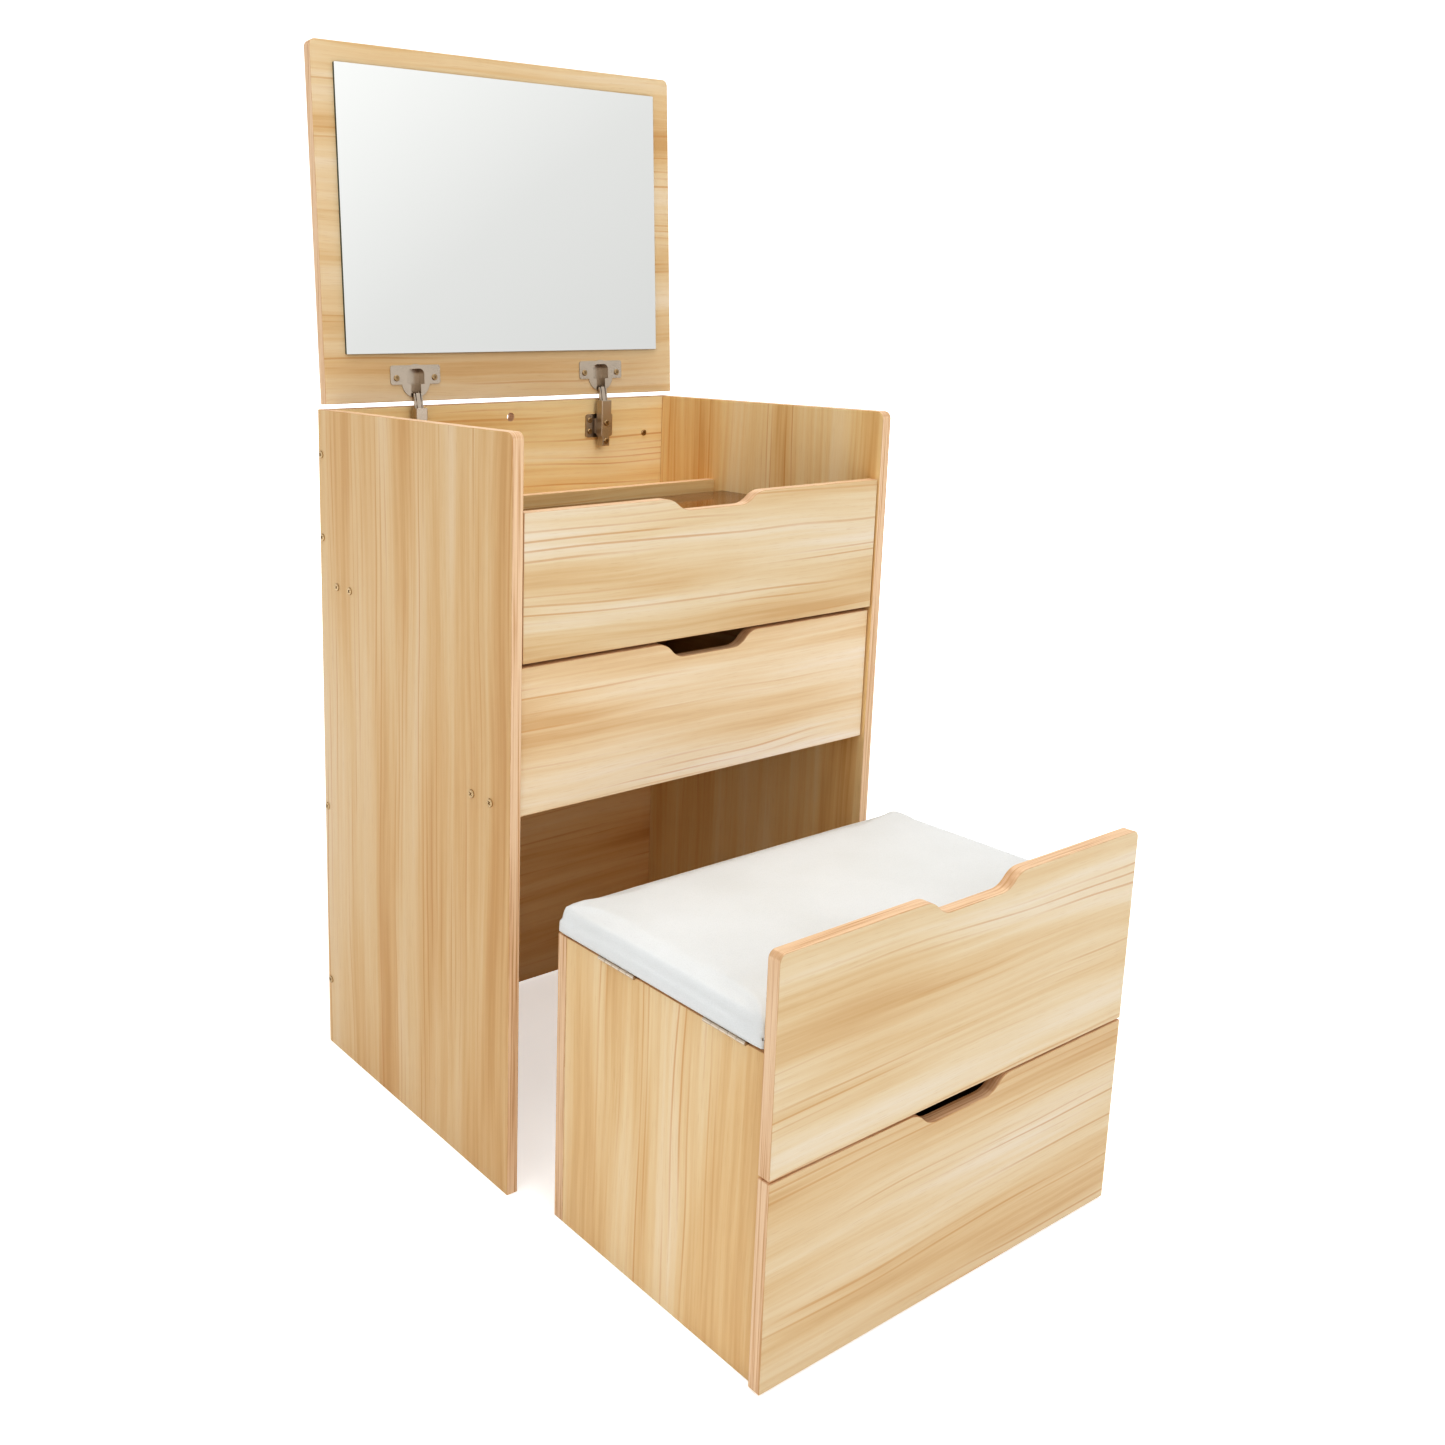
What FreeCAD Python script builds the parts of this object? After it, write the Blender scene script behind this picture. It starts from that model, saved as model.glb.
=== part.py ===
import FreeCAD, Part

import math
import os

# Vanity table with a flip-up mirror lid, two drawers and a storage stool that docks in the kneehole.
# Millimetres. X runs across the table, Y from the user (-) to the back (+), Z up from the floor.
# Sizes below are worked out in the cabinet's own frame, with Y = 0 half way through its depth.
# The finished pieces are shifted along Y, so that the origin is under the middle of the whole set.

Vector = FreeCAD.Vector

# Boards
BOARD = 12.0
EDGE_ROUNDING = 0.8
HARDBOARD = 3.0

# How far a cutting shape runs past the piece that it cuts
PAST = 1.0

# Cabinet
CABINET_WIDTH = 480.0
CABINET_DEPTH = 350.0
CABINET_HEIGHT = 720.0
SIDE_CORNER_RADIUS = 8.0
OPENING = CABINET_WIDTH / 2 - BOARD
FRONT = -CABINET_DEPTH / 2
BACK = CABINET_DEPTH / 2
UPPER_BACK_BOTTOM = 530.0
LOWER_BACK_BOTTOM = 4.0
LOWER_BACK_TOP = 370.0
CABLE_HOLE_RADIUS = 5.0
CABLE_HOLE_HEIGHT = 703.0
WELL_FRONT = 68.0
DIVIDER_TOP = 627.0
STRETCHER_FRONT = -157.0
STRETCHER_DEPTH = 60.0
STRETCHER_BOTTOM = 376.0

# Glass top of the upper compartment
GLASS_TOP = 615.0
GLASS_THICKNESS = 5.0
GLASS_FRONT = FRONT + 14.0
GLASS_BACK = WELL_FRONT - 14.0
GLASS_SIDE_GAP = 0.6
CLEAT_WIDTH = 12.0
CLEAT_HEIGHT = 15.0
CLEAT_SETBACK = 10.0

# Drawer boxes and the strips that they slide on
BOX_SIDE_GAP = 1.2
RUNNER_THICKNESS = 6.0
RUNNER_HEIGHT = 10.0
RUNNER_CLEARANCE = 0.4
RUNNER_SINK = 2.0
RUNNER_SINK_RADIUS = 3.4
RUNNER_SCREW_SHARES = (0.15, 0.85)
BOTTOM_LIFT = 8.0
BOTTOM_GROOVE = 5.0

# Finger notch in the top edge of a front
NOTCH_TOP_WIDTH = 130.0
NOTCH_FLAT_WIDTH = 64.0

# Screws: head radius, head height, shank radius, shank length
PANEL_SCREW = (4.0, 1.3, 2.2, 38.0)
STRAP_SCREW = (3.6, 1.5, 1.8, 9.0)
RUNNER_SCREW = (3.2, 1.6, 1.6, 12.0)
CUP_SCREW = (3.4, 1.2, 1.6, 9.0)
ARM_SCREW = (3.5, 1.4, 1.7, 8.0)
PLATE_SCREW = (3.3, 1.3, 1.6, 10.0)
BACK_SCREW_HEIGHTS = (673.0, 585.0, 285.0, 78.0)
WELL_SCREW_PLACES = (139.0, 112.0)
STRETCHER_SCREW_PLACES = (-114.0, -144.0)
STRAP_SCREW_X = 199.0
STRAP_SCREW_HEIGHT = 676.5

# Mirror lid, measured from its hinge-side edge in its own plane
LID_WIDTH = 476.0
LID_LENGTH = 364.0
LID_CORNER_RADIUS = 7.0
LID_TILT = 3.5
LID_EDGE_Y = 160.0
LID_EDGE_Z = 725.4
MIRROR_WIDTH = 425.0
MIRROR_LENGTH = 292.0
MIRROR_THICKNESS = 3.0
MIRROR_MARGIN = 51.0
MIRROR_CORNER_RADIUS = 1.0

# Cup hinges
HINGE_X = 128.0
CUP_RADIUS = 17.5
CUP_DEPTH = 11.0
CUP_CENTRE = 21.5
CUP_RIM = 0.5
FLANGE_WIDTH = 63.0
FLANGE_BOTTOM = 18.0
FLANGE_TOP = 38.5
FLANGE_THICKNESS = 1.0
PLATE_CORNER = 3.0
POCKET_HALF_WIDTH = 6.2
POCKET_BOTTOM = 5.0
POCKET_TOP = 20.0
POCKET_DEPTH = 10.3
MOUTH_HALF_WIDTH = 11.0
MOUTH_BOTTOM = 18.0
MOUTH_TOP = 34.5
MOUTH_CORNER = 6.0
FLANGE_SCREW_SPACING = 48.0
FLANGE_SCREW_HEIGHT = 25.0
ARM_HALF_WIDTH = 7.2
ARM_TAIL_HALF_WIDTH = 5.2
ARM_SCREW_HEIGHTS = (692.0, 671.0)
ARM_WALL = 1.2
ARM_FRONT = 147.8
ARM_BACK = 157.5
ARM_TOP = 718.4
ARM_BOTTOM = 665.0
ARM_NECK = 677.0
PLATE_BOTTOM = 675.0
PLATE_TOP = 702.0
PLATE_THICKNESS = 1.5
PLATE_HALF_WIDTH = 20.0
PLATE_SCREW_X = 14.0
PLATE_SCREW_HEIGHTS = (695.0, 682.0)
BLOCK_HALF_WIDTH = 5.8
BLOCK_BOTTOM = PLATE_BOTTOM + 4.0
BLOCK_TOP = PLATE_TOP - 5.0
PIN_RADIUS = 1.25
PIN_CLEARANCE = 0.05
PIN_STUB_GAP = 0.5
PIN_ANCHOR = 2.0
LINK_HALF_HEIGHT = 1.4
LINK_EYE_RADIUS = 2.3
OUTER_ARM_PIVOT = (154.0, 716.0)
OUTER_CUP_PIVOT = (8.2, 3.0)
OUTER_KNEE = (6.8, -3.2)
OUTER_PLATE_INNER = 3.6
OUTER_PLATE_OUTER = 5.2
INNER_ARM_PIVOT = (152.0, 709.0)
INNER_CUP_PIN = (7.6, 8.2)
INNER_KNEE = (7.2, -3.0)
INNER_TIP = (8.4, 1.5)
INNER_HALF_WIDTH = 2.5

# Stool, measured back from its front face
STOOL_WIDTH = 452.0
STOOL_BOX_WIDTH = 440.0
STOOL_BOX_BACK = 267.0
STOOL_BOX_TOP = 280.5
STOOL_FRONT_TOP = 367.0
STOOL_FRONT_BOTTOM = 185.0
STOOL_FLOOR_BOTTOM = 185.0
STOOL_NOTCH_DEPTH = 14.0
STOOL_CORNER_RADIUS = 7.0
STOOL_RUNNER_HEIGHT = 90.0
STOOL_RUNNER_FRONT_INSET = 8.0
STOOL_RUNNER_BACK_INSET = 10.0
STOOL_DOCKED_FRONT = FRONT + 2.0
STOOL_PULL_OUT = 316.0
STOOL_FRONT = STOOL_DOCKED_FRONT - STOOL_PULL_OUT

# Seat
SEAT_WIDTH = 449.0
SEAT_FRONT = 14.0
SEAT_BACK = 267.0
SEAT_BOTTOM = 284.0
SEAT_TOP = 312.0
SEAT_BOARD_THICKNESS = 9.0
SEAT_WRAP = 3.5
SEAT_ROUNDING = 3.0
SEAT_HINGE_Z = 281.7
SEAT_HINGE_X = -222.4
SEAT_BARREL_RADIUS = 1.8
SEAT_PIN_RADIUS = 0.9
SEAT_KNUCKLES = 5
SEAT_LEAF_THICKNESS = 1.2
SEAT_LEAF_WIDTH = 11.0
SEAT_KNUCKLE_GAP = 0.15
SEAT_HINGE_SPANS = ((33.0, 79.0), (161.0, 207.0))
BUFFER_RADIUS = 4.0
BUFFER_HEIGHT = 3.4
BUFFER_INSET = 30.0

# Runners screwed inside the cabinet: level, height, and where they start and end
CABINET_RUNNERS = (
    ("upper", 555.0, (FRONT + 22.0, 58.0)),
    ("lower", 443.0, (FRONT + 26.0, 130.0)),
)

# The three drawers
DRAWERS = (
    {
        "name": "upper_drawer",
        "front_y": FRONT + 1.2,
        "front_z": (515.7, 650.3),
        "half_front": OPENING - 1.5,
        "notch_depth": 12.0,
        "box_z": (520.0, 590.0),
        "box_depth": 222.0,
        "half_opening": OPENING,
        "runner_z": 555.0,
    },
    {
        "name": "lower_drawer",
        "front_y": FRONT + 4.0,
        "front_z": (373.6, 511.8),
        "half_front": OPENING - 1.5,
        "notch_depth": 15.0,
        "box_z": (391.0, 494.0),
        "box_depth": 298.0,
        "half_opening": OPENING,
        "runner_z": 443.0,
    },
    {
        "name": "stool_drawer",
        "front_y": STOOL_FRONT,
        "front_z": (2.0, 183.0),
        "half_front": STOOL_WIDTH / 2,
        "notch_depth": STOOL_NOTCH_DEPTH,
        "box_z": (12.0, 164.0),
        "box_depth": 236.0,
        "half_opening": STOOL_BOX_WIDTH / 2 - BOARD,
        "runner_z": STOOL_RUNNER_HEIGHT,
    },
)

pieces = {}


def box(x, y, z):
    """A block between two limits on each axis."""
    return Part.makeBox(x[1] - x[0], y[1] - y[0], z[1] - z[0], Vector(x[0], y[0], z[0]))


def rod(radius, start, direction, length):
    """A round bar from a point along a direction."""
    return Part.makeCylinder(radius, length, Vector(*start), Vector(*direction))


def eased(shape, radius=EDGE_ROUNDING):
    """The same solid with every edge slightly rounded."""
    return shape.makeFillet(radius, shape.Edges)


def board(x, y, z):
    """A wooden board with eased edges."""
    return eased(box(x, y, z))


def joined(shapes):
    """One solid from overlapping solids."""
    first, *rest = shapes
    return first.fuse(rest).removeSplitter() if rest else first


def group(shapes):
    """Several separate solids kept together."""
    return Part.makeCompound(shapes)


def mirrored(shape):
    """The same piece on the other side of the X = 0 plane."""
    return shape.mirror(Vector(0, 0, 0), Vector(1, 0, 0))


def both_sides(low, high):
    """The left and right spans on X of a strip given on the right."""
    return (-high, -low), (low, high)


def screw(point, inward, size):
    """A cross-recessed screw whose head sits on a face at point, and whose shank runs inward."""
    head_radius, head_height, shank_radius, length = size
    inward = Vector(*inward)
    outward = -inward
    head = Part.makeCylinder(head_radius, head_height, Vector(*point), outward)
    crown = [e for e in head.Edges if (e.CenterOfMass - Vector(*point)).dot(outward) > head_height * 0.9]
    head = head.makeFillet(head_height * 0.6, crown)
    across = Vector(0, 0, 1) if abs(inward.z) < 0.5 else Vector(1, 0, 0)
    arm, slot_width, slot_depth = head_radius * 1.1, head_radius * 0.26, head_height * 0.65
    for turn in (45, 135):
        slot = Part.makeBox(arm, slot_width, slot_depth, Vector(-arm / 2, -slot_width / 2, -slot_depth))
        slot.rotate(Vector(0, 0, 0), Vector(0, 0, 1), turn)
        facing = FreeCAD.Rotation(across, Vector(0, 0, 0), outward, "ZXY")
        slot.Placement = FreeCAD.Placement(Vector(*point) + outward * head_height, facing) * slot.Placement
        head = head.cut(slot)
    shank = Part.makeCylinder(shank_radius, length, Vector(*point), inward)
    return joined([head, shank])


def pilot(point, inward, size):
    """The hole that a screw's shank fills."""
    shank_radius, length = size[2:]
    return Part.makeCylinder(shank_radius, length, Vector(*point), Vector(*inward))


def line(a, b):
    """A straight edge."""
    return Part.LineSegment(Vector(*a), Vector(*b)).toShape()


def arc(a, through, b):
    """A circular edge through three points."""
    return Part.Arc(Vector(*a), Vector(*through), Vector(*b)).toShape()


def notched_front(half_width, y, z, notch_depth, corner_radius):
    """A drawer front with a finger notch in its top edge, and its top corners rounded if asked."""
    bottom, top = z
    outer, flat = NOTCH_TOP_WIDTH / 2, NOTCH_FLAT_WIDTH / 2
    run = outer - flat
    bend = (run * run + notch_depth * notch_depth) / (4 * notch_depth)
    half_turn = math.asin(run / 2 / bend) / 2
    over, under = bend * math.sin(half_turn), bend * (1 - math.cos(half_turn))

    def at(x, height):
        return (x, y[0], height)

    def s_bend(side):
        half_way = at(side * (flat + run / 2), top - notch_depth / 2)
        high, low = at(side * outer, top), at(side * flat, top - notch_depth)
        upper = arc(high, at(side * (outer - over), top - under), half_way)
        lower = arc(half_way, at(side * (flat + over), top - notch_depth + under), low)
        return [upper, lower]

    def corner(side):
        inset = corner_radius * (1 - math.sqrt(0.5))
        return arc(
            at(side * half_width, top - corner_radius),
            at(side * (half_width - inset), top - inset),
            at(side * (half_width - corner_radius), top),
        )

    edges = [line(at(-half_width, bottom), at(half_width, bottom))]
    for side in (1, -1):
        edges.append(line(at(side * half_width, bottom), at(side * half_width, top - corner_radius)))
        if corner_radius:
            edges.append(corner(side))
        edges.append(line(at(side * (half_width - corner_radius), top), at(side * outer, top)))
        edges.extend(s_bend(side))
    edges.append(line(at(-flat, top - notch_depth), at(flat, top - notch_depth)))
    wire = Part.Wire(Part.__sortEdges__(edges))
    return eased(Part.Face(wire).extrude(Vector(0, y[1] - y[0], 0)))


def add_drawer(name, front_y, front_z, half_front, notch_depth, box_z, box_depth, half_opening, runner_z):
    """A drawer's front, two grooved sides, back and bottom."""
    rear_of_front = front_y + BOARD
    outer = half_opening - BOX_SIDE_GAP
    inner = outer - BOARD
    y = (rear_of_front, rear_of_front + box_depth)
    low = box_z[0] + BOTTOM_LIFT
    bottom = box((-inner - BOTTOM_GROOVE, inner + BOTTOM_GROOVE), y, (low, low + HARDBOARD))
    half_groove = RUNNER_HEIGHT / 2 + RUNNER_CLEARANCE
    groove_z = (runner_z - half_groove, runner_z + half_groove)
    groove = box((outer - RUNNER_THICKNESS, outer + PAST), (y[0] - PAST, y[1] + PAST), groove_z)
    side = board((inner, outer), y, box_z).cut([groove, bottom])
    pieces[name + "_front"] = notched_front(half_front, (front_y, rear_of_front), front_z, notch_depth, 0)
    pieces[name + "_left_side"] = mirrored(side)
    pieces[name + "_right_side"] = side
    pieces[name + "_back"] = board((-inner, inner), (y[1] - BOARD, y[1]), (low + HARDBOARD, box_z[1]))
    pieces[name + "_bottom"] = bottom


def add_runners(names, half_opening, y, runner_z):
    """The left and right strips that a drawer's grooves slide on, and the screws that hold them."""
    z = (runner_z - RUNNER_HEIGHT / 2, runner_z + RUNNER_HEIGHT / 2)
    face = half_opening - RUNNER_THICKNESS
    strip = eased(box((face, half_opening), y, z))
    screws, holes = [], []
    for share in RUNNER_SCREW_SHARES:
        screw_y = y[0] + (y[1] - y[0]) * share
        point = (face + RUNNER_SINK, screw_y, runner_z)
        strip = strip.cut(rod(RUNNER_SINK_RADIUS, (face, screw_y, runner_z), (1, 0, 0), RUNNER_SINK))
        screws.append(screw(point, (1, 0, 0), RUNNER_SCREW))
        holes.append(pilot(point, (1, 0, 0), RUNNER_SCREW))
    strip = strip.cut(holes)
    pieces[names[0]] = mirrored(strip)
    pieces[names[1]] = strip
    return [mirrored(s) for s in screws] + screws, [mirrored(h) for h in holes] + holes


def add_cabinet():
    """Sides, backs, shelf boards, glass top and the screws through the sides."""
    side = box((OPENING, CABINET_WIDTH / 2), (FRONT, BACK), (0, CABINET_HEIGHT))
    corner = [
        e for e in side.Edges
        if abs(e.CenterOfMass.y - FRONT) < 0.01 and abs(e.CenterOfMass.z - CABINET_HEIGHT) < 0.01
    ]
    side = eased(side.makeFillet(SIDE_CORNER_RADIUS, corner))
    inside = (-OPENING, OPENING)
    back_y = (BACK - BOARD, BACK)
    well_z = (UPPER_BACK_BOTTOM, UPPER_BACK_BOTTOM + BOARD)
    hole_start = (0, BACK - BOARD - PAST, CABLE_HOLE_HEIGHT)
    cable_hole = rod(CABLE_HOLE_RADIUS, hole_start, (0, 1, 0), BOARD + 2 * PAST)
    boards = {
        "left_side_panel": mirrored(side),
        "right_side_panel": side,
        "upper_back_panel": board(inside, back_y, (UPPER_BACK_BOTTOM, CABINET_HEIGHT)).cut(cable_hole),
        "lower_back_panel": board(inside, back_y, (LOWER_BACK_BOTTOM, LOWER_BACK_TOP)),
        "well_floor": board(inside, (WELL_FRONT, BACK - BOARD), well_z),
        "compartment_divider": board(inside, (WELL_FRONT, WELL_FRONT + BOARD), (well_z[1], DIVIDER_TOP)),
        "front_stretcher": board(
            inside,
            (STRETCHER_FRONT, STRETCHER_FRONT + STRETCHER_DEPTH),
            (STRETCHER_BOTTOM, STRETCHER_BOTTOM + BOARD),
        ),
    }
    glass_bottom = GLASS_TOP - GLASS_THICKNESS
    glass_half = OPENING - GLASS_SIDE_GAP
    glass_z = (glass_bottom, GLASS_TOP)
    pieces["glass_top"] = eased(box((-glass_half, glass_half), (GLASS_FRONT, GLASS_BACK), glass_z))
    cleat_y = (GLASS_FRONT + CLEAT_SETBACK, GLASS_BACK)
    cleat_x = both_sides(OPENING - CLEAT_WIDTH, OPENING)
    cleat_z = (glass_bottom - CLEAT_HEIGHT, glass_bottom)
    pieces["glass_cleats"] = group([board(x, cleat_y, cleat_z) for x in cleat_x])

    back_middle = BACK - BOARD / 2
    well_middle = UPPER_BACK_BOTTOM + BOARD / 2
    stretcher_middle = STRETCHER_BOTTOM + BOARD / 2
    places = [(back_middle, z) for z in BACK_SCREW_HEIGHTS]
    places += [(y, well_middle) for y in WELL_SCREW_PLACES]
    places += [(y, stretcher_middle) for y in STRETCHER_SCREW_PLACES]
    screws, holes = [], []
    for y, z in places:
        point = (CABINET_WIDTH / 2, y, z)
        screws.append(screw(point, (-1, 0, 0), PANEL_SCREW))
        holes.append(pilot(point, (-1, 0, 0), PANEL_SCREW))
    screws += [mirrored(s) for s in screws]
    holes += [mirrored(h) for h in holes]

    strap_screws, strap_holes = [], []
    for x in (-STRAP_SCREW_X, STRAP_SCREW_X):
        point = (x, BACK - BOARD, STRAP_SCREW_HEIGHT)
        strap_screws.append(screw(point, (0, 1, 0), STRAP_SCREW))
        strap_holes.append(pilot(point, (0, 1, 0), STRAP_SCREW))
    pieces["panel_screws"] = group(screws)
    pieces["back_panel_screws"] = group(strap_screws)
    return boards, holes + strap_holes


def lid_point(v, n):
    """The Y and Z of a point of the open lid: v up from its hinge-side edge, n back from its mirror face."""
    s, c = math.sin(math.radians(LID_TILT)), math.cos(math.radians(LID_TILT))
    return LID_EDGE_Y + v * s + n * c, LID_EDGE_Z + v * c - n * s


def placed_on_lid(shape):
    """Moves a piece drawn upright at the origin, with its mirror face on Y = 0, onto the open lid."""
    tilt = FreeCAD.Rotation(Vector(1, 0, 0), -LID_TILT)
    shape.Placement = FreeCAD.Placement(Vector(0, LID_EDGE_Y, LID_EDGE_Z), tilt) * shape.Placement
    return shape


def rounded_plate(x, y, z, radius, corners_at):
    """A plate in the XZ plane whose upright corners at the given heights are rounded."""
    plate = box(x, y, z)
    middle = (y[0] + y[1]) / 2
    through = [e for e in plate.Edges if abs(e.CenterOfMass.y - middle) < 0.01]
    corners = [e for e in through if any(abs(e.CenterOfMass.z - h) < 0.01 for h in corners_at)]
    return plate.makeFillet(radius, corners)


def hinge_cup(x):
    """The round cup, its screw flange, its wide mouth and the narrower pocket that the links fold into."""
    cup = rod(CUP_RADIUS, (x, 0, CUP_CENTRE), (0, 1, 0), CUP_DEPTH)
    rim = rod(CUP_RADIUS + CUP_RIM, (x, -FLANGE_THICKNESS, CUP_CENTRE), (0, 1, 0), FLANGE_THICKNESS)
    half = FLANGE_WIDTH / 2
    flange_z = (FLANGE_BOTTOM, FLANGE_TOP)
    flange = rounded_plate((x - half, x + half), (-FLANGE_THICKNESS, 0), flange_z, PLATE_CORNER, flange_z)
    pocket_x = (x - POCKET_HALF_WIDTH, x + POCKET_HALF_WIDTH)
    pocket_y = (-FLANGE_THICKNESS - PAST, POCKET_DEPTH)
    pocket = box(pocket_x, pocket_y, (POCKET_BOTTOM, POCKET_TOP))
    mouth_x = (x - MOUTH_HALF_WIDTH, x + MOUTH_HALF_WIDTH)
    mouth = rounded_plate(mouth_x, pocket_y, (MOUTH_BOTTOM, MOUTH_TOP), MOUTH_CORNER, (MOUTH_TOP,))
    return joined([cup, rim, flange]).cut([pocket, mouth])


def stub_spans(x, inner, outer):
    """The X spans of a pair of short pins either side of a hinge's middle."""
    return (x - outer, x - inner), (x + inner, x + outer)


def pin(x, y, z):
    """A pin along X between two X limits."""
    return rod(PIN_RADIUS, (x[0], y, z), (1, 0, 0), x[1] - x[0])


def link_plate(x, points, eyes):
    """A cranked hinge link: a strip through points in the YZ plane, with an eye at some of them."""
    thickness = x[1] - x[0]
    parts = []
    for (y0, z0), (y1, z1) in zip(points, points[1:]):
        length = math.hypot(y1 - y0, z1 - z0)
        strip = Part.makeBox(thickness, length, 2 * LINK_HALF_HEIGHT, Vector(0, 0, -LINK_HALF_HEIGHT))
        turn = FreeCAD.Rotation(Vector(1, 0, 0), math.degrees(math.atan2(z1 - z0, y1 - y0)))
        strip.Placement = FreeCAD.Placement(Vector(x[0], y0, z0), turn)
        parts.append(strip)
    parts += [rod(LINK_HALF_HEIGHT, (x[0], y, z), (1, 0, 0), thickness) for y, z in points]
    parts += [rod(LINK_EYE_RADIUS, (x[0], y, z), (1, 0, 0), thickness) for y, z in eyes]
    bore = PIN_RADIUS + PIN_CLEARANCE
    holes = [rod(bore, (x[0] - PAST, y, z), (1, 0, 0), thickness + 2 * PAST) for y, z in eyes]
    return joined(parts).cut(holes)


def hinge_arm(x):
    """The pressed channel that carries the links, narrower below, drawn over the mounting block."""
    wide = (x - ARM_HALF_WIDTH, x + ARM_HALF_WIDTH)
    narrow = (x - ARM_TAIL_HALF_WIDTH, x + ARM_TAIL_HALF_WIDTH)
    y = (ARM_FRONT, ARM_BACK)
    outside = joined([box(wide, y, (ARM_NECK, ARM_TOP)), box(narrow, y, (ARM_BOTTOM, ARM_NECK + PAST))])
    front_edges = [e for e in outside.Edges if abs(e.CenterOfMass.y - ARM_FRONT) < 0.01]
    outside = outside.makeFillet(EDGE_ROUNDING, front_edges)
    hollow_y = (ARM_FRONT + ARM_WALL, ARM_BACK + PAST)
    inner = (wide[0] + ARM_WALL, wide[1] - ARM_WALL)
    inner_narrow = (narrow[0] + ARM_WALL, narrow[1] - ARM_WALL)
    channel = [box(inner, hollow_y, (ARM_NECK + ARM_WALL, ARM_TOP + PAST))]
    channel.append(box(inner_narrow, hollow_y, (ARM_BOTTOM + ARM_WALL, ARM_NECK + ARM_WALL + PAST)))
    return outside.cut(channel)


def hinge_plate(x):
    """The mounting plate: two wings screwed to the back panel and a block that carries the arm."""
    y = (BACK - BOARD - PLATE_THICKNESS, BACK - BOARD)
    z = (PLATE_BOTTOM, PLATE_TOP)
    wings = rounded_plate((x - PLATE_HALF_WIDTH, x + PLATE_HALF_WIDTH), y, z, PLATE_CORNER, z)
    block_x = (x - BLOCK_HALF_WIDTH, x + BLOCK_HALF_WIDTH)
    block = box(block_x, (ARM_FRONT + ARM_WALL, BACK - BOARD), (BLOCK_BOTTOM, BLOCK_TOP))
    return joined([wings, block])


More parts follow.
